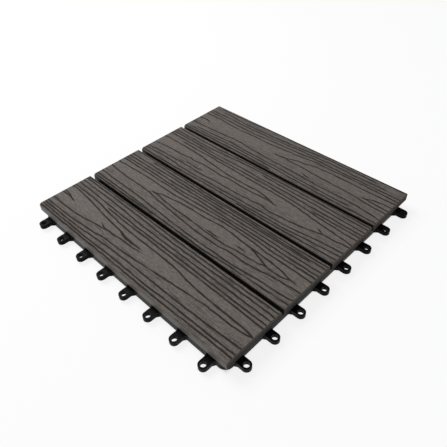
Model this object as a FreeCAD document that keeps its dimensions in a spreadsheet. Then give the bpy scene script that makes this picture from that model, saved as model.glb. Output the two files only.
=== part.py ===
import FreeCAD, Part
import os
import Sketcher

# Interlocking deck tile: four wood-plastic boards screwed from below to one
# moulded base. Millimetres, +Z up. The origin lies on the ground under the
# middle of the tile's module square. The boards run along X. Loops stand out
# on the -Y and +X sides, and the pins that drop into a neighbour's loops hang
# in the open sockets on the +Y and -X sides.

os.makedirs("parts", exist_ok=True)
doc = FreeCAD.newDocument("deck_tile")
sheet = doc.addObject("Spreadsheet::Sheet", "sizes")

SIZES = (
    # the boards, and the module that they set
    ("slat_pitch", 75.0),
    ("slat_gap", 3.5),
    ("end_gap", 0.5),
    ("slat_thick", 10.5),
    ("slat_round", 3.3),
    ("slat_ease", 0.8),
    # the base: rim, ribs and foot cups
    ("base_thick", 11.5),
    ("base_set_back", 3.25),
    ("corner_round", 9.0),
    ("rim_wall", 2.2),
    ("rib_wall", 1.8),
    ("rib_foot", 3.0),
    ("cup_radius", 5.2),
    ("cup_wall", 1.25),
    ("cup_top", 2.0),
    ("stub_reach", 6.0),
    # the loops that reach under the neighbouring tile
    ("loop_radius", 4.95),
    ("loop_hole", 3.0),
    ("loop_low", 2.5),
    ("loop_high", 7.5),
    ("loop_reach", 6.5),
    ("loop_shift", 2.0),
    ("loop_flare", 2.5),
    ("root_length", 5.0),
    ("root_ease", 0.5),
    # the pins and their sockets
    ("pin_clear", 0.3),
    ("pin_short", 0.5),
    ("socket_half", 7.0),
    ("socket_back", 7.0),
    ("socket_wall", 1.6),
    ("socket_top", 2.0),
    # the screws
    ("screw_radius", 1.9),
    ("screw_length", 9.0),
    ("head_radius", 3.4),
    ("head_high", 2.0),
    ("cap_clear", 0.25),
    ("pilot_clear", 0.05),
    ("pilot_spare", 0.6),
)
for row, (alias, value) in enumerate(SIZES, start=1):
    sheet.set(f"A{row}", alias)
    sheet.set(f"B{row}", str(value))
    sheet.setAlias(f"B{row}", alias)
doc.recompute()

# Lengths that several features share, each built from the sizes above.
BASE_HALF = "(2 * sizes.slat_pitch - sizes.base_set_back)"
NODE_PITCH = "(sizes.slat_pitch / 2)"
FIRST_NODE = "(-7 * sizes.slat_pitch / 4)"
SLAT_WIDE = "(sizes.slat_pitch - sizes.slat_gap)"
PIN_IN = "(sizes.loop_reach - sizes.base_set_back)"
LOOP_OUT = "(sizes.loop_reach + sizes.base_set_back)"
PIN_RADIUS = "(sizes.loop_hole - sizes.pin_clear)"
SOCKET_CEILING = "(sizes.base_thick - sizes.socket_top)"
CUP_CEILING = "(sizes.base_thick - sizes.cup_top)"
FIRST_COLUMN = "(-3 * sizes.slat_pitch / 2)"

SLATS = 4
LOOPS_A_SIDE = 2 * SLATS
RIB_ROWS = 2 * SLATS
RIB_COLUMNS = 15


def origin_part(body, role):
    """Return the body's own origin plane or axis with this role."""
    return next(o for o in body.Origin.OriginFeatures if o.Role == role)


def bind(thing, values):
    """Tie properties to expressions in the sizes."""
    for path, expression in values.items():
        thing.setExpression(path, expression)


def new_body(name):
    """Start a body whose node takes this name."""
    body = doc.addObject("PartDesign::Body", name)
    body.Label = name
    body.AllowCompound = True
    return body


def new_sketch(body, name, plane="XY_Plane", at=("0", "0", "0"), turn=0.0):
    """Start a sketch on an origin plane, moved by three expressions and turned."""
    sketch = body.newObject("Sketcher::SketchObject", name)
    sketch.AttachmentSupport = [(origin_part(body, plane), "")]
    sketch.MapMode = "FlatFace"
    spin = FreeCAD.Rotation(FreeCAD.Vector(0, 0, 1), turn)
    sketch.AttachmentOffset = FreeCAD.Placement(FreeCAD.Vector(), spin)
    for letter, expression in zip("xyz", at):
        sketch.setExpression(f".AttachmentOffset.Base.{letter}", expression)
    return sketch


def line(x0, y0, x1, y1):
    """Return a straight sketch line."""
    return Part.LineSegment(FreeCAD.Vector(x0, y0, 0), FreeCAD.Vector(x1, y1, 0))


def arc(x, y, radius, start, end):
    """Return a sketch arc, with its angles in degrees, counter-clockwise."""
    circle = Part.Circle(FreeCAD.Vector(x, y, 0), FreeCAD.Vector(0, 0, 1), radius)
    turn = 3.141592653589793 / 180
    return Part.ArcOfCircle(circle, start * turn, end * turn)


def rule(sketch, kind, *where, name=None, value=None):
    """Add one constraint, named and tied to an expression where it has a size."""
    if name is None:
        return sketch.addConstraint(Sketcher.Constraint(kind, *where))
    start = doc.getObject("sizes").evalExpression(value)
    index = sketch.addConstraint(Sketcher.Constraint(kind, *where, float(start)))
    sketch.renameConstraint(index, name)
    sketch.setExpression(f"Constraints.{name}", value)
    return index


def rounded_rectangle(sketch, half, low, high, round_low, round_high):
    """Draw a rectangle about the sketch's Y axis, with rounded corners.

    half, low, high, round_low and round_high are expressions.
    """
    value = doc.getObject("sizes").evalExpression
    w, a, b = float(value(half)), float(value(low)), float(value(high))
    r, s = float(value(round_low)), float(value(round_high))
    pieces = (
        line(-w + r, a, w - r, a),
        arc(w - r, a + r, r, 270, 360),
        line(w, a + r, w, b - s),
        arc(w - s, b - s, s, 0, 90),
        line(w - s, b, -w + s, b),
        arc(-w + s, b - s, s, 90, 180),
        line(-w, b - s, -w, a + r),
        arc(-w + r, a + r, r, 180, 270),
    )
    for piece in pieces:
        sketch.addGeometry(piece, False)
    for lower, upper in ((0, 1), (2, 3), (4, 5), (6, 7)):
        rule(sketch, "Tangent", lower, 2, upper, 1)
    for lower, upper in ((1, 2), (3, 4), (5, 6), (7, 0)):
        rule(sketch, "Tangent", lower, 2, upper, 1)
    for flat in (0, 4):
        rule(sketch, "Horizontal", flat)
    for upright in (2, 6):
        rule(sketch, "Vertical", upright)
    rule(sketch, "Equal", 1, 7)
    rule(sketch, "Equal", 3, 5)
    rule(sketch, "DistanceX", -1, 1, 2, 1, name="right", value=half)
    rule(sketch, "DistanceX", 6, 1, -1, 1, name="left", value=half)
    rule(sketch, "DistanceY", -1, 1, 0, 1, name="low", value=low)
    rule(sketch, "DistanceY", -1, 1, 4, 1, name="high", value=high)
    rule(sketch, "Radius", 1, name="round_low", value=round_low)
    rule(sketch, "Radius", 3, name="round_high", value=round_high)


def rectangle(sketch, half, near, far):
    """Draw a rectangle about the sketch's Y axis, from near to far along it."""
    value = doc.getObject("sizes").evalExpression
    w, a, b = float(value(half)), float(value(near)), float(value(far))
    corners = ((-w, a), (w, a), (w, b), (-w, b))
    for i in range(4):
        sketch.addGeometry(line(*corners[i], *corners[(i + 1) % 4]), False)
    for i in range(4):
        rule(sketch, "Coincident", i, 2, (i + 1) % 4, 1)
    for flat in (0, 2):
        rule(sketch, "Horizontal", flat)
    for upright in (1, 3):
        rule(sketch, "Vertical", upright)
    rule(sketch, "DistanceX", -1, 1, 1, 1, name="right", value=half)
    rule(sketch, "DistanceX", 3, 1, -1, 1, name="left", value=half)
    rule(sketch, "DistanceY", -1, 1, 0, 1, name="near", value=near)
    rule(sketch, "DistanceY", -1, 1, 2, 1, name="far", value=far)


def circle(sketch, radius):
    """Draw a circle about the sketch's origin."""
    start = float(doc.getObject("sizes").evalExpression(radius))
    round_line = Part.Circle(FreeCAD.Vector(), FreeCAD.Vector(0, 0, 1), start)
    sketch.addGeometry(round_line, False)
    rule(sketch, "Coincident", 0, 3, -1, 1)
    rule(sketch, "Radius", 0, name="radius", value=radius)


def half_section(sketch, points):
    """Draw a closed half section for a turned form.

    Each point is a pair of expressions: distance from the axis, and height.
    The first and the last point lie on the axis.
    """
    value = doc.getObject("sizes").evalExpression
    spots = [(float(value(x)), float(value(y))) for x, y in points]
    count = len(spots)
    for i in range(count):
        sketch.addGeometry(line(*spots[i], *spots[(i + 1) % count]), False)
    for i in range(count):
        rule(sketch, "Coincident", i, 2, (i + 1) % count, 1)
    for i, (out, high) in enumerate(points):
        if i in (0, count - 1):
            rule(sketch, "PointOnObject", i, 1, -2)
        else:
            rule(sketch, "DistanceX", -1, 1, i, 1, name=f"out_{i}", value=out)
        rule(sketch, "DistanceY", -1, 1, i, 1, name=f"high_{i}", value=high)


def pad(body, name, sketch, length, midplane=False):
    """Raise a sketch by a length that is an expression."""
    feature = body.newObject("PartDesign::Pad", name)
    feature.Profile = sketch
    feature.Midplane = midplane
    feature.setExpression("Length", length)
    return feature


def pocket(body, name, sketch, length):
    """Cut a sketch upwards, along +Z, by a length that is an expression."""
    feature = body.newObject("PartDesign::Pocket", name)
    feature.Profile = sketch
    feature.Reversed = True
    feature.setExpression("Length", length)
    return feature


def turned(body, name, sketch, cut=False):
    """Turn a half section about its sketch's Y axis, as a solid or as a cut."""
    kind = "PartDesign::Groove" if cut else "PartDesign::Revolution"
    feature = body.newObject(kind, name)
    feature.Profile = sketch
    feature.ReferenceAxis = (sketch, ["V_Axis"])
    feature.Angle = 360
    return feature


def tongue_outline(sketch):
    """Draw a loop's outline: flared out of the rim, straight sided, round ended.

    The sketch's X axis runs along the rim's outer face and Y points outwards.
    """
    value = doc.getObject("sizes").evalExpression
    wide, flare = float(value("sizes.loop_radius")), float(value("sizes.loop_flare"))
    out, bite = float(value(LOOP_OUT)), float(value("sizes.rim_wall / 2"))
    for piece in (
        line(-wide - flare, -bite, -wide - flare, 0),
        arc(-wide - flare, flare, flare, 270, 360),
        line(-wide, flare, -wide, out),
        arc(0, out, wide, 0, 180),
        line(wide, out, wide, flare),
        arc(wide + flare, flare, flare, 180, 270),
        line(wide + flare, 0, wide + flare, -bite),
        line(wide + flare, -bite, -wide - flare, -bite),
    ):
        sketch.addGeometry(piece, False)
    rule(sketch, "Coincident", 0, 2, 1, 1)
    rule(sketch, "Tangent", 1, 2, 2, 1)
    rule(sketch, "Tangent", 2, 2, 3, 2)
    rule(sketch, "Tangent", 3, 1, 4, 1)
    rule(sketch, "Tangent", 4, 2, 5, 1)
    rule(sketch, "Coincident", 5, 2, 6, 1)
    rule(sketch, "Coincident", 6, 2, 7, 1)
    rule(sketch, "Coincident", 7, 2, 0, 1)
    for upright in (0, 2, 4, 6):
        rule(sketch, "Vertical", upright)
    rule(sketch, "Horizontal", 7)
    rule(sketch, "Vertical", 1, 3, 1, 1)
    rule(sketch, "Vertical", 5, 3, 5, 2)
    rule(sketch, "PointOnObject", 3, 3, -2)
    rule(sketch, "PointOnObject", 1, 1, -1)
    rule(sketch, "PointOnObject", 5, 2, -1)
    rule(sketch, "DistanceY", 0, 1, -1, 1, name="bite", value="sizes.rim_wall / 2")
    rule(sketch, "DistanceY", -1, 1, 3, 3, name="out", value=LOOP_OUT)
    rule(sketch, "Radius", 3, name="ring", value="sizes.loop_radius")
    rule(sketch, "Radius", 1, name="flare", value="sizes.loop_flare")
    rule(sketch, "Equal", 1, 5)


def spread(body, name, axis, pitch, count):
    """Make one straight step of a pattern along an origin axis."""
    feature = body.newObject("PartDesign::LinearPattern", name)
    feature.Direction = (origin_part(body, axis), [""])
    feature.Mode = "Spacing"
    feature.Occurrences = count
    feature.setExpression("Offset", pitch)
    return feature


def in_row(body, originals, axis, pitch, count):
    """Repeat features in a row along one origin axis."""
    feature = spread(body, f"{body.Name}_row", axis, pitch, count)
    feature.Originals = originals
    body.Tip = feature


def in_grid(body, originals, pitch_x, count_x, pitch_y, count_y):
    """Repeat features over a grid along X and Y."""
    feature = body.newObject("PartDesign::MultiTransform", f"{body.Name}_grid")
    feature.Originals = originals
    feature.Transformations = [
        spread(body, f"{body.Name}_steps_x", "X_Axis", pitch_x, count_x),
        spread(body, f"{body.Name}_steps_y", "Y_Axis", pitch_y, count_y),
    ]
    body.Tip = feature


def half_turn(body):
    """Make one step of a pattern that turns features half round the Z axis."""
    feature = body.newObject("PartDesign::PolarPattern", f"{body.Name}_half_turn")
    feature.Axis = (origin_part(body, "Z_Axis"), [""])
    feature.Angle = 360
    feature.Occurrences = 2
    return feature


def one_a_board(body, originals):
    """Repeat features once a board, and again for the boards' other ends."""
    feature = body.newObject("PartDesign::MultiTransform", f"{body.Name}_set")
    feature.Originals = originals
    feature.Transformations = [
        spread(body, f"{body.Name}_steps_y", "Y_Axis", "sizes.slat_pitch", SLATS),
        half_turn(body),
    ]
    body.Tip = feature


# The base: rim.
rim = new_body("rim")
outline = new_sketch(rim, "rim_outline")
rounded_rectangle(
    outline, BASE_HALF, f"-{BASE_HALF}", BASE_HALF, "sizes.corner_round", "sizes.corner_round"
)
pad(rim, "rim_block", outline, "sizes.base_thick")
inside = new_sketch(rim, "rim_inside")
inner_half = f"({BASE_HALF} - sizes.rim_wall)"
inner_round = "(sizes.corner_round - sizes.rim_wall)"
rounded_rectangle(inside, inner_half, f"-{inner_half}", inner_half, inner_round, inner_round)
pocket(rim, "rim_open", inside, "sizes.base_thick")

# The base: ribs, lifted off the ground so that water runs through. The ones
# across the boards lie twice as close, since the boards rest on them.
rib_end = f"({BASE_HALF} - sizes.rim_wall / 2)"
ribs_across = new_body("ribs_across")
across = new_sketch(ribs_across, "rib_across_plan", at=(FIRST_NODE, "0", "sizes.rib_foot"))
rectangle(across, "sizes.rib_wall / 2", f"-{rib_end}", rib_end)
rib = pad(ribs_across, "rib_across", across, "sizes.base_thick - sizes.rib_foot")
in_row(ribs_across, [rib], "X_Axis", "sizes.slat_pitch / 4", RIB_COLUMNS)
ribs_along = new_body("ribs_along")
along = new_sketch(ribs_along, "rib_along_plan", at=("0", FIRST_NODE, "sizes.rib_foot"))
rectangle(along, rib_end, "-sizes.rib_wall / 2", "sizes.rib_wall / 2")
rib = pad(ribs_along, "rib_along", along, "sizes.base_thick - sizes.rib_foot")
in_row(ribs_along, [rib], "Y_Axis", NODE_PITCH, RIB_ROWS)

# The base: foot cups that the screws pass through, two a board at opposite
# corners, and feet where the crossing ribs run down to the ground for a short way.
cups = new_body("cups")
cup_plan = new_sketch(cups, "cup_plan", at=(FIRST_COLUMN, FIRST_NODE, "0"))
circle(cup_plan, "sizes.cup_radius")
cup = pad(cups, "cup", cup_plan, "sizes.base_thick")
one_a_board(cups, [cup])
cup_bores = new_body("cup_bores")
bore_plan = new_sketch(cup_bores, "cup_bore_plan", at=(FIRST_COLUMN, FIRST_NODE, "0"))
circle(bore_plan, "sizes.cup_radius - sizes.cup_wall")
bore = pad(cup_bores, "cup_bore", bore_plan, CUP_CEILING)
one_a_board(cup_bores, [bore])
screw_holes = new_body("screw_holes")
hole_plan = new_sketch(screw_holes, "screw_hole_plan", at=(FIRST_COLUMN, FIRST_NODE, "0"))
circle(hole_plan, "sizes.screw_radius + sizes.cap_clear")
hole = pad(screw_holes, "screw_hole", hole_plan, "sizes.base_thick")
one_a_board(screw_holes, [hole])

cross_feet = new_body("cross_feet")
stub_spot = (FIRST_COLUMN, FIRST_NODE, "0")
stub_plan = new_sketch(cross_feet, "stub_across_plan", at=stub_spot)
rectangle(stub_plan, "sizes.rib_wall / 2", "-sizes.stub_reach", "sizes.stub_reach")
stub_across = pad(cross_feet, "stub_across", stub_plan, "sizes.base_thick")
stub_plan = new_sketch(cross_feet, "stub_along_plan", at=stub_spot)
rectangle(stub_plan, "sizes.stub_reach", "-sizes.rib_wall / 2", "sizes.rib_wall / 2")
stub_along = pad(cross_feet, "stub_along", stub_plan, "sizes.base_thick")
in_grid(cross_feet, [stub_across, stub_along], "sizes.slat_pitch", 4, NODE_PITCH, RIB_ROWS)

# The base: sockets with their hanging pins. Each row starts as one socket that
# faces +Y before it is turned, with its sketch origin on the rim. The room that
# is cut out of a block has the pin's form missing, so the pin stays standing.
SOCKET_ROWS = (
    ("far", 0.0, "X_Axis", (f"({FIRST_NODE} - sizes.loop_shift)", BASE_HALF)),
    ("left", 90.0, "Y_Axis", (f"(-{BASE_HALF})", FIRST_NODE)),
)
blocks = []
rooms = []
for side, turn, axis, (at_x, at_y) in SOCKET_ROWS:
    block_row = new_body(f"socket_blocks_{side}")
    plan = new_sketch(block_row, f"socket_block_plan_{side}", at=(at_x, at_y, "0"), turn=turn)
    rectangle(
        plan,
        "sizes.socket_half + sizes.socket_wall",
        f"-({PIN_IN} + sizes.socket_back + sizes.socket_wall)",
        "-sizes.rim_wall / 2",
    )
    block = pad(block_row, f"socket_block_{side}", plan, "sizes.base_thick")
    in_row(block_row, [block], axis, NODE_PITCH, LOOPS_A_SIDE)
    blocks.append(block_row)
    room_row = new_body(f"socket_rooms_{side}")
    plan = new_sketch(room_row, f"socket_room_plan_{side}", at=(at_x, at_y, "0"), turn=turn)
    rectangle(
        plan, "sizes.socket_half", f"-({PIN_IN} + sizes.socket_back)", "sizes.rim_wall / 2"
    )
    room = pad(room_row, f"socket_room_{side}", plan, SOCKET_CEILING)
    if side == "far":
        spot = (at_x, "0", f"-({at_y} - {PIN_IN})")
    else:
        spot = (f"{at_x} + {PIN_IN}", "0", f"-{at_y}")
    section = new_sketch(room_row, f"pin_section_{side}", "XZ_Plane", at=spot)
    pin_low = "(sizes.loop_low + sizes.pin_short)"
    half_section(
        section,
        (
            ("0", pin_low),
            (PIN_RADIUS, pin_low),
            (PIN_RADIUS, SOCKET_CEILING),
            ("0", SOCKET_CEILING),
        ),
    )
    pin = turned(room_row, f"pin_{side}", section, cut=True)
    in_row(room_row, [room, pin], axis, NODE_PITCH, LOOPS_A_SIDE)
    rooms.append(room_row)

# The base: loops, drawn like the sockets on the side that faces +Y before they
# are turned. A sloping root carries each tongue off the rim.
LOOP_ROWS = (
    ("near", 180.0, "X_Axis", (f"({FIRST_NODE} - sizes.loop_shift)", f"(-{BASE_HALF})")),
    ("right", 270.0, "Y_Axis", (BASE_HALF, FIRST_NODE)),
)
tongues = []
eyes = []
for side, turn, axis, (at_x, at_y) in LOOP_ROWS:
    tongue_row = new_body(f"tongues_{side}")
    plan = new_sketch(
        tongue_row, f"tongue_plan_{side}", at=(at_x, at_y, "sizes.loop_low"), turn=turn
    )
    tongue_outline(plan)
    tongue = pad(tongue_row, f"tongue_{side}", plan, "sizes.loop_high - sizes.loop_low")
    in_row(tongue_row, [tongue], axis, NODE_PITCH, LOOPS_A_SIDE)
    root_row = new_body(f"loop_roots_{side}")
    root = root_row.newObject("PartDesign::AdditiveWedge", f"root_{side}")
    root.AttachmentSupport = [(origin_part(root_row, "XY_Plane"), "")]
    root.MapMode = "FlatFace"
    spin = FreeCAD.Rotation(FreeCAD.Vector(0, 0, 1), turn)
    root.AttachmentOffset = FreeCAD.Placement(FreeCAD.Vector(), spin)
    bind(
        root,
        {
            ".AttachmentOffset.Base.x": at_x,
            ".AttachmentOffset.Base.y": at_y,
            "Xmin": "-(sizes.loop_radius + sizes.loop_flare / 2)",
            "Xmax": "sizes.loop_radius + sizes.loop_flare / 2",
            "Ymin": "-sizes.rim_wall / 2",
            "Ymax": "sizes.root_length",
            "Zmin": "0",
            "Zmax": "(sizes.loop_low + sizes.loop_high) / 2",
            "X2min": "-sizes.loop_radius + sizes.root_ease",
            "X2max": "sizes.loop_radius - sizes.root_ease",
            "Z2min": "sizes.loop_low",
            "Z2max": "(sizes.loop_low + sizes.loop_high) / 2",
        },
    )
    in_row(root_row, [root], axis, NODE_PITCH, LOOPS_A_SIDE)
    tongues += [tongue_row, root_row]
    if side == "near":
        spot = (at_x, f"{at_y} - {LOOP_OUT}", "sizes.loop_low")
    else:
        spot = (f"{at_x} + {LOOP_OUT}", at_y, "sizes.loop_low")
    eye_row = new_body(f"loop_eyes_{side}")
    plan = new_sketch(eye_row, f"loop_eye_plan_{side}", at=spot)
    circle(plan, "sizes.loop_hole")
    eye = pad(eye_row, f"loop_eye_{side}", plan, "sizes.loop_high - sizes.loop_low")
    in_row(eye_row, [eye], axis, NODE_PITCH, LOOPS_A_SIDE)
    eyes.append(eye_row)

# The base: everything joined into one moulding, and then its spaces cut out.
joined = doc.addObject("Part::MultiFuse", "joined")
joined.Shapes = [rim, ribs_across, ribs_along, cups, cross_feet, *blocks, *tongues]
joined.Refine = False
spaces = doc.addObject("Part::Compound", "spaces")
spaces.Links = [cup_bores, screw_holes, *rooms, *eyes]
base = doc.addObject("Part::Cut", "base_grid")
base.Label = "base_grid"
base.Base = joined
base.Tool = spaces
base.Refine = True

# The boards: one extruded profile, rounded along its upper edges.
slats = []
for number in range(1, SLATS + 1):
    slat = new_body(f"slat_{number}")
    profile = new_sketch(slat, f"slat_profile_{number}", "YZ_Plane")
    rounded_rectangle(
        profile, f"{SLAT_WIDE} / 2", "0", "sizes.slat_thick", "sizes.slat_ease", "sizes.slat_round"
    )
    slat_long = "4 * sizes.slat_pitch - sizes.end_gap"
    pad(slat, f"slat_bar_{number}", profile, slat_long, midplane=True)
    plan = new_sketch(
        slat, f"pilot_plan_{number}", at=(FIRST_COLUMN, "-sizes.slat_pitch / 4", "0")
    )
    circle(plan, "sizes.screw_radius + sizes.pilot_clear")
    depth = "sizes.screw_length - sizes.cup_top + sizes.pilot_spare"
    pilot = pocket(slat, f"pilot_{number}", plan, depth)
    both_ends = half_turn(slat)
    both_ends.Originals = [pilot]
    slat.Tip = both_ends
    slat.setExpression(".Placement.Base.y", f"{number - 2.5} * sizes.slat_pitch")
    slat.setExpression(".Placement.Base.z", "sizes.base_thick")
    slats.append(slat)

# The screws: pan heads under the cup tops, two a board.
screws = new_body("slat_screws")
section = new_sketch(
    screws, "screw_section", "XZ_Plane", at=(FIRST_COLUMN, "0", f"-{FIRST_NODE}")
)
half_section(
    section,
    (
        ("0", f"{CUP_CEILING} - sizes.head_high"),
        ("sizes.head_radius", f"{CUP_CEILING} - sizes.head_high"),
        ("sizes.head_radius", CUP_CEILING),
        ("sizes.screw_radius", CUP_CEILING),
        ("sizes.screw_radius", f"{CUP_CEILING} + sizes.screw_length"),
        ("0", f"{CUP_CEILING} + sizes.screw_length"),
    ),
)
screw = turned(screws, "screw", section)
one_a_board(screws, [screw])

doc.recompute()
for thing in doc.Objects:
    for word in ("Invalid", "Error"):
        if word in thing.State:
            raise SystemExit(f"{thing.Label} did not recompute: {thing.State}")
for node in (base, *slats, screws):
    shape = node.Shape
    if shape.isNull() or not shape.isValid():
        raise SystemExit(f"{node.Label} has no valid shape")
    shape.exportStep(f"parts/{node.Label}.step")
    print(f"{node.Label}: {len(shape.Solids)} solid(s), {shape.Volume / 1000:.2f} cm3")
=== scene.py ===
"""Interlocking deck tile: four embossed boards on a black clip-together base.

The CAD solids in model.glb carry the form. This script dresses the boards, the base and
the screws, and sets up the floor, the lights and the camera. The studio is in
metres. The finishes and the screws are worked out in millimetres.
"""
import logging
import math
from dataclasses import dataclass
from enum import Enum
from typing import Any

import bpy
import numpy as np
from mathutils import Matrix, Vector


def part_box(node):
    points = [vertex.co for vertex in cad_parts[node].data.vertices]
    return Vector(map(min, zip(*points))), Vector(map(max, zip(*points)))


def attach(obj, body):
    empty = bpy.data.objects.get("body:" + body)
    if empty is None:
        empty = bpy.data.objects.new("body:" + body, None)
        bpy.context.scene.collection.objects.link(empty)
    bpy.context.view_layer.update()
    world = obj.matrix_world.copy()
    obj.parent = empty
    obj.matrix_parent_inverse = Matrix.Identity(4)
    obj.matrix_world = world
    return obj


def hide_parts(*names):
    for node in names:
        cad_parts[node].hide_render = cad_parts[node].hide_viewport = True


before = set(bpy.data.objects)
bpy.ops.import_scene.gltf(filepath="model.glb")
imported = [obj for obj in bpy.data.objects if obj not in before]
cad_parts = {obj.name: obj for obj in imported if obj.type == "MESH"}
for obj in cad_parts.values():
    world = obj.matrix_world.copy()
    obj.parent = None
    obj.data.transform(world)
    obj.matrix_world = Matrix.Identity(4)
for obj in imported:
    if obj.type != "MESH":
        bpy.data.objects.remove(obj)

log = logging.getLogger("deck_tile")

Colour = tuple[float, float, float]
Point = tuple[float, float, float]
Span = tuple[float, float]
Skin = tuple[np.ndarray, np.ndarray]
MM = 0.001
BODY = "root"
WHITE = (1.0, 1.0, 1.0, 1.0)


def scaled(colour: Colour, share: float) -> Colour:
    """Return a colour made darker or paler by a share."""
    return tuple(channel * share for channel in colour)


class Ray(Enum):
    """The kinds of ray that see the studio's white rather than its plain light."""

    CAMERA = "Is Camera Ray"
    GLOSSY = "Is Glossy Ray"
    TRANSMISSION = "Is Transmission Ray"


class Signal:
    """A shader socket that takes part in Python arithmetic.

    Each operator adds one Math node to the graph that the socket belongs to.
    """

    def __init__(self, graph: "Graph", socket: bpy.types.NodeSocket) -> None:
        """Wrap an output socket of one of the graph's nodes."""
        self.graph = graph
        self.socket = socket

    def __add__(self, other: "Signal | float") -> "Signal":
        """Return self + other."""
        return self.graph.math("ADD", self, other)

    def __radd__(self, other: float) -> "Signal":
        """Return other + self."""
        return self.graph.math("ADD", other, self)

    def __sub__(self, other: "Signal | float") -> "Signal":
        """Return self - other."""
        return self.graph.math("SUBTRACT", self, other)

    def __rsub__(self, other: float) -> "Signal":
        """Return other - self."""
        return self.graph.math("SUBTRACT", other, self)

    def __mul__(self, other: "Signal | float") -> "Signal":
        """Return self * other."""
        return self.graph.math("MULTIPLY", self, other)

    def __rmul__(self, other: float) -> "Signal":
        """Return other * self."""
        return self.graph.math("MULTIPLY", other, self)

    def __truediv__(self, other: "Signal | float") -> "Signal":
        """Return self / other."""
        return self.graph.math("DIVIDE", self, other)

    def size(self) -> "Signal":
        """Return the absolute value."""
        return self.graph.math("ABSOLUTE", self)

    def ramp(self, low: float, high: float, start: float = 0.0, end: float = 1.0) -> "Signal":
        """Return a smooth step from start to end as self goes from low to high."""
        node = self.graph.node(
            "ShaderNodeMapRange",
            {"interpolation_type": "SMOOTHSTEP"},
            {"Value": self, "From Min": low, "From Max": high, "To Min": start, "To Max": end},
        )
        return Signal(self.graph, node.outputs["Result"])


class Graph:
    """The node tree of a material or the world, filled through one method."""

    def __init__(self, owner: bpy.types.Material | bpy.types.World) -> None:
        """Empty the owner's node tree.

        Args:
            owner: A new material or world.
        """
        self.owner = owner
        owner.use_nodes = True
        self.tree = owner.node_tree
        self.tree.nodes.clear()

    @classmethod
    def material(cls, name: str) -> "Graph":
        """Start a new material of this name."""
        return cls(bpy.data.materials.new(name))

    def node(
        self,
        kind: str,
        settings: dict[str, Any] | None = None,
        inputs: dict[str | int, Any] | None = None,
    ) -> bpy.types.Node:
        """Add a node.

        Args:
            kind: The node's type.
            settings: Its own properties, set before its sockets are touched.
            inputs: A value, a Signal or a socket for each input socket.

        Returns:
            The node.
        """
        made = self.tree.nodes.new(kind)
        for key, value in (settings or {}).items():
            setattr(made, key, value)
        for key, value in (inputs or {}).items():
            if isinstance(value, Signal):
                value = value.socket
            if isinstance(value, bpy.types.NodeSocket):
                self.tree.links.new(value, made.inputs[key])
            else:
                made.inputs[key].default_value = value
        return made

    def math(self, operation: str, *values: "Signal | float") -> Signal:
        """Add a Math node.

        Args:
            operation: The node's operation.
            values: Its operands.

        Returns:
            The node's result.
        """
        made = self.node("ShaderNodeMath", {"operation": operation}, dict(enumerate(values)))
        return Signal(self, made.outputs[0])

    def place(self) -> tuple[Signal, Signal, Signal]:
        """Return the object coordinates, in millimetres."""
        where = self.node("ShaderNodeTexCoord")
        split = self.node("ShaderNodeSeparateXYZ", inputs={"Vector": where.outputs["Object"]})
        x, y, z = (Signal(self, split.outputs[k]) / MM for k in range(3))
        return x, y, z

    def noise(self, point: tuple[Any, ...], detail: float = 2.0, rough: float = 0.5) -> Signal:
        """Add a noise whose grains are about one unit of the point's coordinates.

        Args:
            point: Three values or Signals, in units of a grain.
            detail: The number of finer layers.
            rough: The weight of the finer layers.

        Returns:
            The noise, from about -0.5 to 0.5.
        """
        joined = self.node("ShaderNodeCombineXYZ", inputs=dict(enumerate(point)))
        made = self.node(
            "ShaderNodeTexNoise",
            {"noise_dimensions": "3D"},
            {
                "Vector": joined.outputs[0],
                "Scale": 1.0,
                "Detail": detail,
                "Roughness": rough,
            },
        )
        return Signal(self, made.outputs[0]) - 0.5

    def mix(self, share: "Signal | float", first: Any, second: Any) -> bpy.types.NodeSocket:
        """Mix two colours.

        Args:
            share: 0 for the first colour, 1 for the second.
            first: A colour or a colour socket.
            second: A colour or a colour socket.

        Returns:
            The mixed colour's socket.
        """
        made = self.node("ShaderNodeMix", {"data_type": "RGBA"}, {0: share})
        for key, value in ((6, first), (7, second)):
            if isinstance(value, bpy.types.NodeSocket):
                self.tree.links.new(value, made.inputs[key])
            else:
                made.inputs[key].default_value = (*value, 1.0)
        return made.outputs[2]

    def bump(self, height: Signal) -> bpy.types.NodeSocket:
        """Return the normal that a height in millimetres bends."""
        made = self.node("ShaderNodeBump", inputs={"Distance": MM, "Height": height})
        return made.outputs["Normal"]

    def seen_by(self, *rays: Ray) -> Signal:
        """Return 1 where one of these kinds of ray arrives, and 0 elsewhere."""
        path = self.node("ShaderNodeLightPath")
        seen = Signal(self, path.outputs[rays[0].value])
        for ray in rays[1:]:
            seen = self.math("MAXIMUM", seen, Signal(self, path.outputs[ray.value]))
        return seen

    def finish(self, shader: bpy.types.Node) -> Any:
        """Send a shader to the output.

        Args:
            shader: The last shader node.

        Returns:
            The material or world.
        """
        kind = "World" if isinstance(self.owner, bpy.types.World) else "Material"
        self.node(f"ShaderNodeOutput{kind}", inputs={"Surface": shader.outputs[0]})
        return self.owner

    def shade(self, **inputs: Any) -> bpy.types.Material:
        """Finish the material with a Principled shader.

        Args:
            inputs: The shader's inputs, with underscores for spaces.

        Returns:
            The material.
        """
        named = {key.replace("_", " "): value for key, value in inputs.items()}
        return self.finish(self.node("ShaderNodeBsdfPrincipled", inputs=named))


def dress(node: bpy.types.Object, material: bpy.types.Material) -> None:
    """Give a whole CAD node one material.

    Args:
        node: The node's object.
        material: The material for each of its slots.
    """
    for slot in node.material_slots:
        slot.material = material


# One groove of a board's emboss: places along the board from its middle, and
# across it from its middle line, both in millimetres.
Groove = tuple[tuple[float, float], ...]


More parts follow.
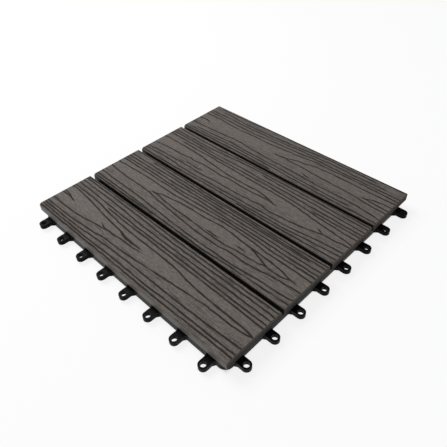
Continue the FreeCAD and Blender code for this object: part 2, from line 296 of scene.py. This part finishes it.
@dataclass(frozen=True)
class Grain:
    """A noise over two places on a surface, in millimetres.

    Its fields are the size of a grain each way, a number that sets it apart from the
    other noises of a finish, the finer layers, and their weight.
    """

    along: float
    across: float
    apart: float
    detail: float
    rough: float

    def draw(self, graph: Graph, u: Signal, v: Signal, seed: float) -> Signal:
        """Return the noise at u and v, from about -0.5 to 0.5."""
        point = (u / self.along, v / self.across, seed + self.apart)
        return graph.noise(point, self.detail, self.rough)


@dataclass(frozen=True)
class BoardFinish:
    """Dark grey wood-plastic: embossed on top, smooth along the sides, sawn at the ends.

    The emboss is a set of grooves, each a smooth curve v(u) through a few points.
    A spot's distance from a groove is |v - v(u)|, plus a share of its distance past
    the groove's end, which tapers the end off. The nearest groove counts. Fine hairs
    run between the grooves towards both long edges. A side that looks into a gap is
    painted near black, a painted shade of the unlit gap; an outer side is faded like
    the face, and the underside is raw.
    """

    face: Colour = (0.120, 0.105, 0.093)
    groove: Colour = (0.013, 0.010, 0.008)
    faded: Colour = (0.112, 0.099, 0.088)
    # skin: painted shade, the near black of the sides that look into a gap, standing for the
    # unlit gap
    skin: Colour = (0.008, 0.007, 0.006)
    raw: Colour = (0.050, 0.045, 0.040)
    sawn: Colour = (0.034, 0.031, 0.028)
    face_shares: Span = (0.3, 1.7)
    sawn_shares: Span = (0.4, 2.8)

    # the room that the grooves' courses take, from the board's middle
    reach: float = 150.0
    half_wide: float = 40.0

    # the grooves: half their width, how much two noises change it, their soft edge
    # as a share of it, their depth, how faint they get, how their ends taper, and how
    # far they waver from their courses
    groove_half: float = 0.96
    fray: float = 0.7
    swell: float = 0.9
    soft: Span = (0.45, 1.35)
    groove_deep: float = 0.45
    faint: float = 0.55
    end_taper: float = 0.16
    ripple: float = 2.0

    # the hairs: their strength, and how far from the middle line they start
    hair: float = 0.6
    hair_zone: Span = (6.0, 15.0)

    # where each surface starts and is full, measured in from the board's box
    top_edge: Span = (2.2, 0.9)
    outer_edge: Span = (1.5, 0.5)
    # the sawn ends grow paler over this band below the top
    pale_top_edge: Span = (6.0, 0.5)
    end_skin: float = 0.02
    raw_high: float = 0.3

    # depths of the finer relief, and how rough each surface is
    fibre_deep: float = 0.10
    speck_deep: float = 0.05
    mottle_deep: float = 0.08
    saw_deep: float = 0.16
    chip_deep: float = 0.12
    draw_deep: float = 0.012
    rough: float = 0.50
    top_rough: float = 0.25
    end_rough: float = 0.3
    groove_rough: float = 0.1
    gloss: float = 0.3

    # the noises
    saw_slope: float = 0.08
    draw_grain: Point = (60.0, 5.0, 0.25)
    wave: Grain = Grain(9.0, 5.0, 3.0, 4.0, 0.6)
    fade: Grain = Grain(18.0, 3.0, 7.0, 3.0, 0.6)
    fibre: Grain = Grain(13.0, 1.3, 11.0, 3.0, 0.65)
    mottle: Grain = Grain(5.0, 2.6, 17.0, 4.0, 0.75)
    speck: Grain = Grain(1.6, 1.1, 19.0, 2.0, 0.7)
    chip: Grain = Grain(0.7, 1.2, 29.0, 3.0, 0.7)
    streak: Grain = Grain(26.0, 0.7, 31.0, 1.0, 0.4)
    saw: Grain = Grain(4.0, 0.35, 23.0, 2.0, 0.6)

    def make(
        self,
        name: str,
        low: Vector,
        high: Vector,
        grooves: tuple[Groove, ...],
        outer: int,
        seed: float,
    ) -> bpy.types.Material:
        """Build the finish for one board.

        Args:
            name: The material's name.
            low: The board's lowest corner, in metres.
            high: The board's highest corner, in metres.
            grooves: The board's own stretch of the emboss.
            outer: -1 or 1 where the low or the high side is an outer one, or else 0.
            seed: A number that sets this board's noise apart from the others'.

        Returns:
            The material.
        """
        g = Graph.material(name)
        x, y, z = g.place()
        low, high = low / MM, high / MM
        centre, half_size = (low + high) / 2, (high - low) / 2
        u, v = x - centre.x, y - centre.y
        top = z.ramp(*(high.z - inset for inset in self.top_edge))
        end = (u.size() - (half_size.x - self.end_skin)).ramp(0.0, self.end_skin / 2)

        # the grooves and hairs of the emboss
        fade = self.fade.draw(g, u, v, seed)
        fibre = self.fibre.draw(g, u, v, seed)
        bent = v + self.wave.draw(g, u, v, seed) * self.ripple
        half = fibre * self.fray + fade * self.swell + self.groove_half
        off = self.nearest(g, u, bent, grooves)
        strength = fade.ramp(-0.3, -0.02, self.faint, 1.0)
        line = (1.0 - (off / half).ramp(*self.soft)) * strength
        streaks = self.streak.draw(g, u, bent, seed)
        hairs = streaks.ramp(0.06, 0.2) * v.size().ramp(*self.hair_zone) * self.hair
        line = g.math("MAXIMUM", line, hairs) * top

        # the face between them
        mottle = self.mottle.draw(g, u, v, seed)
        speck = self.speck.draw(g, u, v, seed)
        tone = mottle * 1.1 + speck * 1.1 + fibre * 0.9
        dark, pale = (scaled(self.face, share) for share in self.face_shares)
        face = g.mix(line, g.mix(tone + 0.5, dark, pale), self.groove)

        # the long sides and the underside; a side that looks into a gap gets the skin colour, a
        # painted shade of the unlit gap
        outside = (v * outer).ramp(*(half_size.y - inset for inset in self.outer_edge))
        side = g.mix(outside, self.skin, self.faded)
        side = g.mix(z.ramp(low.z, low.z + self.raw_high), self.raw, side)

        # the sawn ends, paler towards the top
        saw = g.noise(
            (z / self.saw.along + v * self.saw_slope, v / self.saw.across, seed + self.saw.apart),
            self.saw.detail,
            self.saw.rough,
        )
        chips = self.chip.draw(g, z, v, seed)
        paler_top = z.ramp(*(high.z - inset for inset in self.pale_top_edge), 0.0, 0.8)
        dark, pale = (scaled(self.sawn, share) for share in self.sawn_shares)
        sawn = g.mix(saw * 0.4 + chips * 0.4 + paler_top + 0.25, dark, pale)

        drawn = g.noise(tuple(place / wide for place, wide in zip((u, v, z), self.draw_grain)))
        fine = fibre * self.fibre_deep + speck * self.speck_deep + mottle * self.mottle_deep
        relief = (
            line * -self.groove_deep
            + fine * top
            + (saw * self.saw_deep + chips * self.chip_deep) * end
            + drawn * self.draw_deep * ((1.0 - top) * (1.0 - end))
        )
        rough = top * self.top_rough + end * self.end_rough + self.rough
        return g.shade(
            Base_Color=g.mix(end, g.mix(top, side, face), sawn),
            Roughness=rough + line * self.groove_rough,
            Normal=g.bump(relief),
            Specular_IOR_Level=self.gloss,
        )

    def nearest(self, graph: Graph, u: Signal, v: Signal, grooves: tuple[Groove, ...]) -> Signal:
        """Return the distance to the nearest groove, in millimetres.

        Args:
            graph: The material's graph.
            u: The place along the board.
            v: The place across it.
            grooves: The board's grooves.
        """
        share = u / (2 * self.reach) + 0.5
        best: Signal | None = None
        for groove in grooves:
            off = (v - self.course(graph, share, groove)).size()
            first, last = groove[0][0], groove[-1][0]
            if last - first < 1.95 * self.reach:
                past = (u - (first + last) / 2).size() - (last - first) / 2
                off = off + graph.math("MAXIMUM", past, 0.0) * self.end_taper
            best = off if best is None else graph.math("MINIMUM", best, off)
        return best

    def course(self, graph: Graph, share: Signal, groove: Groove) -> Signal:
        """Return a groove's place across the board, from the share of the way along."""
        node = graph.node("ShaderNodeFloatCurve", inputs={"Value": share})
        curve = node.mapping.curves[0]
        spots = [(0.5 + u / (2 * self.reach), 0.5 + v / (2 * self.half_wide)) for u, v in groove]
        curve.points[0].location = spots[0]
        curve.points[1].location = spots[-1]
        for spot in spots[1:-1]:
            curve.points.new(*spot)
        for point in curve.points:
            point.handle_type = "AUTO_CLAMPED"
        node.mapping.update()
        return (Signal(graph, node.outputs[0]) - 0.5) * (2 * self.half_wide)


@dataclass(frozen=True)
class PlasticFinish:
    """Black polypropylene with the faint pebble of a blasted mould."""

    colour: Colour = (0.0034, 0.0034, 0.0036)
    rough: float = 0.36
    gloss: float = 0.05
    pebble: float = 0.02
    pebble_wide: float = 0.45
    flow_wide: float = 20.0
    flow_high: float = 6.0
    flow_deep: float = 0.05
    shares: Span = (0.75, 1.35)

    def make(self, name: str) -> bpy.types.Material:
        """Build the finish.

        Args:
            name: The material's name.

        Returns:
            The material.
        """
        g = Graph.material(name)
        x, y, z = g.place()
        fine = g.noise((x / self.pebble_wide, y / self.pebble_wide, z / self.pebble_wide), 2.0)
        flow = g.noise((x / self.flow_wide, y / self.flow_wide, z / self.flow_high), 2.0)
        dark, pale = (scaled(self.colour, share) for share in self.shares)
        return g.shade(
            Base_Color=g.mix(flow + 0.5, dark, pale),
            Roughness=flow * 0.16 + fine * 0.08 + self.rough,
            Normal=g.bump(fine * self.pebble + flow * self.flow_deep),
            Specular_IOR_Level=self.gloss,
        )


@dataclass(frozen=True)
class SteelFinish:
    """Plain bright stainless steel, turned and lightly brushed."""

    colour: Colour = (0.55, 0.54, 0.52)
    rough: float = 0.3
    brush_wide: float = 0.5
    brush_high: float = 0.1
    brush_deep: float = 0.01
    shares: Span = (0.85, 1.1)

    def make(self, name: str) -> bpy.types.Material:
        """Build the finish.

        Args:
            name: The material's name.

        Returns:
            The material.
        """
        g = Graph.material(name)
        x, y, z = g.place()
        point = (x / self.brush_wide, y / self.brush_wide, z / self.brush_high)
        smear = g.noise(point, 3.0, 0.6)
        dark, pale = (scaled(self.colour, share) for share in self.shares)
        return g.shade(
            Base_Color=g.mix(smear + 0.5, dark, pale),
            Metallic=1.0,
            Roughness=smear * 0.25 + self.rough,
            Normal=g.bump(smear * self.brush_deep),
        )


EMBOSS: dict[str, tuple[Groove, ...]] = {
    "slat_1": (
        ((-150, 32.8), (-60, 33), (-20, 31.8), (20, 31.2), (90, 31), (150, 31.4)),
        ((-150, 29.7), (-92, 29), (-42, 28), (-5, 26.6), (40, 26.2), (100, 26.6), (150, 26)),
        ((-150, 24.5), (-102, 24), (-62, 22.8), (-32, 21.2), (30, 20.9), (80, 20.6),
         (150, 20.6)),
        ((-150, 19.3), (-112, 18.4), (-72, 17), (-22, 16), (40, 15.8), (90, 15.1), (150, 14.8)),
        ((-80, 13.6), (-42, 12.5), (0, 12.2), (50, 11.5), (100, 11.2), (150, 10)),
        ((-150, 13.4), (-102, 12.6), (-82, 10.2), (-52, 7.2), (-32, 6.2), (5, 6), (40, 5),
         (60, 2.3), (85, 0.2), (130, -0.8), (144, -1.5), (150, -2.6)),
        ((-150, 10), (-130, 9.4), (-97, 6), (-82, 4), (-62, 2), (-42, 0.3), (-30, -1.6),
         (-8, -2.3)),
        ((-40, -0.8), (-32, -2.9), (-20, -3.2)),
        ((-150, -1), (-140, -1.8), (-134, -3.4), (-127, -4.9)),
        ((-150, -4.2), (-134, -3.9)),
        ((-150, -16.5), (-122, -17), (-102, -16), (-82, -13.2), (-70, -11), (-59, -10)),
        ((-64, -7), (-60, -8.2), (-48, -8.4), (-34, -7), (-20, -6.7), (-6, -5.6)),
        ((-150, -24), (-117, -24), (-82, -22), (-62, -20.2), (-50, -18.2), (-22, -17),
         (0, -15.3), (40, -11.5), (80, -7.8), (95, -6.5), (125, -6.2), (140, -5), (150, -2.6)),
        ((-150, -27.8), (-82, -26.8), (-42, -23.5), (0, -22), (60, -21.3), (100, -20.2),
         (150, -17.8)),
        ((-150, -31), (-62, -30.5), (-12, -28.8), (40, -28.6), (60, -27.3), (110, -26.5),
         (150, -25.2)),
        ((-150, -34.3), (-62, -33.4), (0, -32.5), (60, -32), (120, -30), (150, -29.6)),
    ),
    "slat_2": (
        ((-150, 32.6), (-60, 32.4), (0, 31), (60, 31), (150, 31.3)),
        ((-110, 29.6), (-72, 28.5), (-22, 28), (40, 28.8), (70, 28.2), (150, 27.6)),
        ((-150, 24.2), (-92, 24.1), (-40, 24.3), (0, 25), (60, 25.7), (130, 25.6)),
        ((-150, 19.6), (-92, 19.6), (-60, 19.4), (-22, 20.8), (50, 21.2), (75, 21.5),
         (115, 20.8), (150, 20.7)),
        ((-150, 15), (-102, 15.3), (-62, 14.7), (-32, 15.3), (-17, 16.8), (0, 16.3), (60, 17),
         (115, 15.9), (150, 15.7)),
        ((-150, 11), (-62, 11), (-42, 10.7), (0, 12), (45, 13.2), (75, 12.8), (95, 11.3),
         (150, 11.6)),
        ((-150, 2.7), (-112, 4.5), (-90, 5.2), (-57, 4.4), (-32, 5.2), (0, 7.1), (25, 9),
         (40, 9.3), (80, 7.8), (92, 6.4), (130, 6), (150, 5.3)),
        ((-67, -8.2), (-62, -6.6), (-57, -4.4), (-44, -3), (-32, -0.8), (-12, 0.6), (10, 1.2),
         (25, 3), (35, 3.5), (50, 3), (66, 1.1), (85, 0.5), (104, -0.6), (118, -2.2),
         (127, -4.4), (138, -6.5)),
        ((78, 0.2), (85, -1.7), (92, -4), (100, -6.5), (107, -8.6)),
        ((-66, -8), (-57, -8.3), (-50, -9.7), (-32, -11.3), (0, -12.3), (30, -14), (45, -14.3),
         (70, -12), (95, -10.6), (104, -8.4), (120, -8.9), (131, -6.6)),
        ((-150, -8.5), (-112, -11.2), (-82, -11.2), (-52, -14.5), (-20, -17.4), (0, -19),
         (25, -20.4), (50, -20), (66, -18.2), (80, -18.7), (98, -17), (120, -14), (150, -11.8)),
        ((-150, -23), (-112, -24.4), (-82, -24.5), (-52, -26.2), (0, -28.6), (30, -29.3),
         (75, -29), (112, -26.2), (145, -24.3), (150, -23)),
        ((-150, -29.8), (-82, -31), (-42, -32.3), (0, -33.4), (40, -34), (60, -33), (150, -30)),
        ((-150, -33.6), (-60, -34)),
        ((-54, -33), (-42, -33.4)),
        ((67, -7), (72, -7.2)),
        ((28, -11.2), (38, -11.4)),
    ),
    "slat_3": (
        ((-142, 30.6), (-92, 29.2), (-52, 30.3), (-32, 31.5), (10, 32.5), (75, 33.3),
         (150, 31.6)),
        ((-150, 24.6), (-92, 24), (-66, 24.6), (-32, 27.5), (-12, 28.5), (60, 29), (100, 28),
         (150, 27)),
        ((10, 25.2), (45, 24), (90, 23.5), (130, 21.6), (150, 21)),
        ((-150, 20.5), (-82, 20.1), (-72, 18.9), (-22, 19.6), (0, 19), (40, 19), (80, 17.5),
         (150, 15.8)),
        ((-150, 16), (-82, 15), (-62, 14.3), (-27, 14.3), (15, 14.2), (60, 12.3), (80, 11),
         (100, 8.8), (135, 6.5), (150, 6)),
        ((92, 12.3), (120, 12.2), (150, 11.5)),
        ((-118, 11.2), (-86, 10.3), (-62, 11), (-54, 9.6), (-42, 10.2), (-12, 9.2), (30, 8.8),
         (60, 7.7), (75, 6.2), (100, 2.8), (130, -0.6), (142, -1.8), (150, -3.3)),
        ((-150, 5), (-122, 5.4), (-82, 4), (-64, 1.8), (-46, 0.2), (-38, -1), (-2, -1.8),
         (20, -0.6), (33, -2.3), (43, -3.9)),
        ((-143, -11.9), (-128, -10.4), (-92, -9), (-85, -7.4), (-80, -8.5), (-62, -6.8),
         (-30, -8.2), (-22, -6.8), (10, -7.4), (30, -6), (40, -5.3), (50, -6.5)),
        ((-150, -24), (-102, -22), (-72, -21.6), (-52, -22.5), (-32, -20.7), (-2, -20.4),
         (20, -19.2), (33, -18.2), (41, -16.8)),
        ((44, -18), (55, -19.3), (65, -18.2), (80, -17), (100, -14.2), (110, -12), (117, -10.2)),
        ((113, -6.8), (118, -8.8), (133, -9.3), (141, -7.8), (150, -7.3)),
        ((-80, -16.9), (-72, -16.8), (-66, -17.6), (-59, -16.8)),
        ((-150, -28.5), (-110, -27.4), (-92, -27.7), (-82, -28.9), (-52, -28.4), (0, -27),
         (50, -25.5), (90, -24), (105, -22), (120, -20), (150, -18)),
        ((-150, -33.4), (-92, -33.6), (-32, -32), (10, -31.2), (60, -29.7), (84, -29.4),
         (100, -27.5), (150, -23.8)),
        ((20, -33.4), (80, -33.1), (150, -30)),
    ),
    "slat_4": (
        ((-135, 30.3), (-72, 30.7), (-42, 32), (0, 32), (80, 32.5), (150, 32)),
        ((-128, 25.6), (-97, 23.5), (-82, 22.4), (-62, 23), (-30, 23.6), (10, 25.8), (45, 28.5),
         (110, 27.8)),
        ((-150, 19), (-112, 19.1), (-82, 18), (-42, 19), (-12, 20.2), (25, 22.1), (52, 23.5),
         (90, 22.4), (128, 22.4)),
        ((-150, 14.3), (-122, 14), (-92, 12.4), (-62, 12.2), (-32, 14), (0, 15.3), (22, 17),
         (40, 18.2), (60, 17.4), (150, 17.6)),
        ((-150, 8.6), (-118, 8.9), (-110, 7.6), (-72, 6.5), (-57, 7.6), (-42, 7.2), (0, 9.8),
         (20, 11.2), (40, 14), (50, 13.3), (75, 14), (120, 13.6), (150, 12.6)),
        ((-10, -5.6), (4, -4.2), (9, -2.2), (15, -0.3), (25, 2.2), (31, 2)),
        ((35, 4.6), (45, 6.3), (75, 7.4), (105, 7), (150, 7.4)),
        ((5, -4.2), (12, -5.7), (30, -5.6), (45, -7), (70, -8), (100, -9), (115, -10.3),
         (125, -12), (150, -13)),
        ((120, -5.6), (126, -3.4), (132, -2), (150, -0.2)),
        ((119, -5.6), (130, -6.8), (150, -8.3)),
        ((-150, -4.9), (-138, -4.2), (-131, -5.6)),
        ((-150, -18.5), (-122, -17.8), (-92, -16.5), (-72, -15.2), (-62, -15.2), (-50, -16.6),
         (0, -19.3), (40, -20.3), (68, -22), (95, -21.7), (130, -23.5), (150, -26)),
        ((42, -15.6), (47, -16.8)),
        ((-130, -25.6), (-92, -24.6), (-67, -23.2), (-50, -24.6), (0, -25.6), (60, -27.8),
         (110, -28.5)),
        ((-138, -30), (-92, -29.6), (-72, -28.5), (0, -29.8), (50, -31.8), (80, -32.8),
         (150, -33)),
        ((-150, -33.6), (-60, -33.2), (0, -34.2)),
    ),
}


@dataclass
class Boards:
    """The four boards, each with its own stretch of the emboss roll."""

    finish: BoardFinish = BoardFinish()

    def build(self) -> None:
        """Dress each board's CAD node."""
        last = len(EMBOSS) - 1
        for number, (node, grooves) in enumerate(EMBOSS.items()):
            outer = (number == last) - (number == 0)
            material = self.finish.make(
                f"board_{number + 1}", *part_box(node), grooves, outer, 5.0 * number
            )
            dress(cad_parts[node], material)
            log.info("%s dressed with %d grooves", node, len(grooves))


@dataclass
class BaseMoulding:
    """The black base with its loops, pins, ribs and foot cups."""

    finish: PlasticFinish = PlasticFinish()
    node: str = "base_grid"

    def build(self) -> None:
        """Dress the base's CAD node."""
        dress(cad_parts[self.node], self.finish.make("base_plastic"))
        log.info("%s dressed", self.node)


@dataclass
class PanScrews:
    """Pan-head screws with a cross recess and a coarse thread, seen from below.

    Each board has two, at opposite corners, so the rows take the low and the high
    column in turn.
    """

    finish: SteelFinish = SteelFinish()
    node: str = "slat_screws"
    head_radius: float = 3.4
    head_high: float = 2.0
    neck: float = 1.75
    thread_out: float = 0.15
    thread_deep: float = 0.35
    thread_pitch: float = 1.4
    lead_in: float = 0.4
    tip_long: float = 2.6
    recess_half: float = 0.42
    recess_reach: float = 1.75
    recess_deep: float = 1.25
    pan_share: float = 0.6
    side_share: float = 0.75
    rows: int = 8

    def build(self) -> None:
        """Make the screws and let them stand for the plain CAD ones."""
        low, high = (Vector(corner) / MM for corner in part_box(self.node))
        ends = (low.x + self.head_radius, high.x - self.head_radius)
        xs = np.where(np.arange(self.rows) % 2 == 0, *ends)
        ys = np.linspace(low.y + self.head_radius, high.y - self.head_radius, self.rows)
        head = self.head()
        shank = self.shank(high.z - low.z - self.head_high)
        points, faces = join_grids([head, shank])
        shifts = np.column_stack([xs, ys, np.full(self.rows, low.z)])
        every = (points[None] + shifts[:, None]).reshape(-1, 3) * MM
        starts = np.arange(self.rows)[:, None, None] * len(points)
        all_faces = (faces[None] + starts).reshape(-1, 4)
        screws = new_piece("pan_screws", every, all_faces)
        screws.data.materials.append(self.finish.make("screw_steel"))
        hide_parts(self.node)
        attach(screws, BODY)
        log.info("%d screws", self.rows)

    def head(self, rings: int = 18, turns: int = 64) -> Skin:
        """Return the head's skin, from the middle of its face to the neck.

        The face is at height 0 and the head grows upwards. With s the share of the
        way out, the pan form is r = R s and z = P H (1 - sqrt(1 - s**6)), P being the
        pan's share of the height. The cross recess is deepest in the middle: along each
        arm its depth falls to nothing at the reach, and across each arm it falls over a
        steep wall.

        Args:
            rings: Rings of the face.
            turns: Points round each ring.
        """
        share = np.linspace(0.0, 1.0, rings) ** 0.8
        angle = np.linspace(0.0, 2 * np.pi, turns, endpoint=False)
        s, a = np.meshgrid(share, angle, indexing="ij")
        x = self.head_radius * s * np.cos(a)
        y = self.head_radius * s * np.sin(a)
        z = self.head_high * self.pan_share * (1 - np.sqrt(np.clip(1 - s ** 6, 0.0, 1.0)))
        z = z + self.recess(x, y)
        face = np.stack([x, y, z], axis=-1)
        rim = np.array([self.head_radius, self.head_radius, self.neck])
        high = np.array([self.head_high * self.side_share, self.head_high, self.head_high])
        cos, sin = np.cos(angle), np.sin(angle)
        heights = np.repeat(high[:, None], turns, axis=1)
        back = np.stack([rim[:, None] * cos, rim[:, None] * sin, heights], axis=-1)
        return grid_faces(np.concatenate([face, back]))

    def recess(self, x: np.ndarray, y: np.ndarray) -> np.ndarray:
        """Return the cross recess's depth below the head's face at each point."""
        arms = []
        for along, across in ((x, y), (y, x)):
            run = np.clip(1 - np.abs(along) / self.recess_reach, 0.0, 1.0) ** 0.6
            wall = np.clip(1 - (np.abs(across) / self.recess_half - 0.6) / 0.6, 0.0, 1.0)
            arms.append(run * wall)
        return self.recess_deep * np.maximum(*arms)

    def shank(self, length: float, turns: int = 24, steps: int = 64) -> Skin:
        """Return the threaded shank.

        Past a short lead-in the core is thinner than the neck by the thread's depth. A
        ridge stands on it where height over pitch less the angle's share of a turn is
        near a whole number. Both shrink to nothing at the tip.

        Args:
            length: From the head's back to the tip, in millimetres.
            turns: Points round the shank.
            steps: Points along it.
        """
        angle = np.linspace(0.0, 2 * np.pi, turns, endpoint=False)
        high = np.linspace(0.0, length, steps)
        h, a = np.meshgrid(high, angle, indexing="ij")
        phase = h / self.thread_pitch - a / (2 * np.pi)
        ridge = np.clip(1 - np.abs(phase - np.round(phase)) * 4, 0.0, 1.0)
        taper = np.clip((length - h) / self.tip_long, 0.0, 1.0) ** 0.8
        core = self.neck - self.thread_deep * np.clip(h, 0.0, self.lead_in) / self.lead_in
        crest = (self.thread_deep + self.thread_out) * ridge * np.clip(h, 0.0, 1.0)
        radius = (core + crest) * taper
        skin = np.stack([radius * np.cos(a), radius * np.sin(a), h + self.head_high], axis=-1)
        return grid_faces(skin)


def grid_faces(points: np.ndarray) -> Skin:
    """Turn a grid of points into a skin of four-sided faces, closed round each row.

    Args:
        points: Rows by columns by three.

    Returns:
        The points as a list, and each face's four point numbers.
    """
    rows, columns = points.shape[:2]
    row, here = np.meshgrid(np.arange(rows - 1), np.arange(columns), indexing="ij")
    this, following = row * columns, (row + 1) * columns
    there = (here + 1) % columns
    corners = [this + here, following + here, following + there, this + there]
    return points.reshape(-1, 3), np.stack(corners, axis=-1).reshape(-1, 4)


def join_grids(grids: list[Skin]) -> Skin:
    """Join several skins into one list of points and one of faces.

    Args:
        grids: Pairs of points and faces.

    Returns:
        The joined points and faces.
    """
    starts = np.cumsum([0] + [len(points) for points, _ in grids[:-1]])
    points = np.concatenate([points for points, _ in grids])
    faces = np.concatenate([faces + start for (_, faces), start in zip(grids, starts)])
    return points, faces


def new_piece(name: str, points: np.ndarray, faces: np.ndarray) -> bpy.types.Object:
    """Make a smooth-shaded mesh object at the origin.

    Args:
        name: The object's name.
        points: Its points, in metres.
        faces: Four point numbers a face.

    Returns:
        The object.
    """
    mesh = bpy.data.meshes.new(name)
    mesh.from_pydata(points.tolist(), [], faces.tolist())
    mesh.shade_smooth()
    piece = bpy.data.objects.new(name, mesh)
    bpy.context.scene.collection.objects.link(piece)
    return piece


@dataclass
class Studio:
    """The white floor, the soft lights and the camera at the photograph's angle."""

    camera_at: Point = (0.30157, -0.29138, 0.37381)
    look_at: Point = (0.03044, -0.02948, 0.022)
    roll: float = -2.488
    focal_share: float = 478.81 / 447
    sensor: float = 36.0
    floor_half: float = 6.0
    floor_colour: Colour = (0.88, 0.88, 0.88)
    floor_glow: float = 0.84
    # the tile's half width, and where the painted shadow under it starts and ends, in millimetres
    # from its edge
    tile_half: float = 146.0
    shade_from: float = -8.0
    shade_to: float = 3.0
    sky: float = 0.42
    key_power: float = 27.0
    key_size: float = 1.0
    key_at: Point = (-1.1, -0.2, 1.45)

    def build(self) -> None:
        """Set up the whole studio."""
        self.floor()
        self.lights()
        self.camera()
        scene = bpy.context.scene
        scene.view_settings.view_transform = "Standard"
        log.info("studio ready")

    def floor(self) -> None:
        """Lay the floor: white to the camera and to gloss, with a painted shadow under the tile,
        where its glow fades out.
        """
        half = self.floor_half
        signs = np.array([[-1, -1, 0], [1, -1, 0], [1, 1, 0], [-1, 1, 0]])
        floor = new_piece("floor", signs * half, np.array([[0, 1, 2, 3]]))
        g = Graph.material("floor_white")
        x, y, _ = g.place()
        # painted shadow: the floor's glow fades out from 3 mm past the tile's edge to 8 mm inside
        # it, so under the tile only its dim diffuse part shows
        outside = g.math("MAXIMUM", x.size(), y.size()) - self.tile_half
        clear_of_painted_shadow = outside.ramp(self.shade_from, self.shade_to)
        seen = g.seen_by(Ray.CAMERA, Ray.GLOSSY, Ray.TRANSMISSION)
        plain = g.node("ShaderNodeBsdfDiffuse", inputs={"Color": (*self.floor_colour, 1.0)})
        glow = g.node("ShaderNodeEmission", inputs={"Strength": 1.0})
        share = seen * clear_of_painted_shadow * self.floor_glow
        mixed = g.node(
            "ShaderNodeMixShader", inputs={0: share, 1: plain.outputs[0], 2: glow.outputs[0]}
        )
        floor.data.materials.append(g.finish(mixed))

    def lights(self) -> None:
        """Light the tile from a pale sky, white to the camera, and one large soft lamp."""
        world = bpy.data.worlds.new("sky")
        g = Graph(world)
        plain = g.node("ShaderNodeBackground", inputs={"Color": WHITE, "Strength": self.sky})
        shown = g.node("ShaderNodeBackground", inputs={"Color": WHITE, "Strength": 1.0})
        seen = g.seen_by(Ray.CAMERA, Ray.TRANSMISSION)
        mixed = g.node(
            "ShaderNodeMixShader", inputs={0: seen, 1: plain.outputs[0], 2: shown.outputs[0]}
        )
        bpy.context.scene.world = g.finish(mixed)
        lamp = bpy.data.lights.new("soft_key", "AREA")
        lamp.shape = "SQUARE"
        lamp.size = self.key_size
        lamp.energy = self.key_power
        key = bpy.data.objects.new("soft_key", lamp)
        key.location = self.key_at
        key.rotation_euler = (-Vector(self.key_at)).to_track_quat("-Z", "Y").to_euler()
        bpy.context.scene.collection.objects.link(key)

    def camera(self) -> None:
        """Place the camera: it looks along one line and is rolled about it."""
        forward = (Vector(self.look_at) - Vector(self.camera_at)).normalized()
        level = forward.cross(Vector((0, 0, 1))).normalized()
        above = level.cross(forward)
        turn = math.radians(self.roll)
        right = level * math.cos(turn) + above * math.sin(turn)
        up = right.cross(forward)
        lens = bpy.data.cameras.new("camera")
        lens.sensor_width = self.sensor
        lens.lens = self.sensor * self.focal_share
        lens.clip_start = 0.01
        camera = bpy.data.objects.new("camera", lens)
        camera.matrix_world = Matrix.Translation(Vector(self.camera_at)) @ Matrix(
            (right, up, -forward)
        ).transposed().to_4x4()
        bpy.context.scene.collection.objects.link(camera)
        bpy.context.scene.camera = camera


def main() -> None:
    """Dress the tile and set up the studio."""
    logging.basicConfig(level=logging.INFO, format="%(name)s: %(message)s")
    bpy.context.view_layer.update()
    Boards().build()
    BaseMoulding().build()
    PanScrews().build()
    Studio().build()


if __name__ == "__main__":
    main()
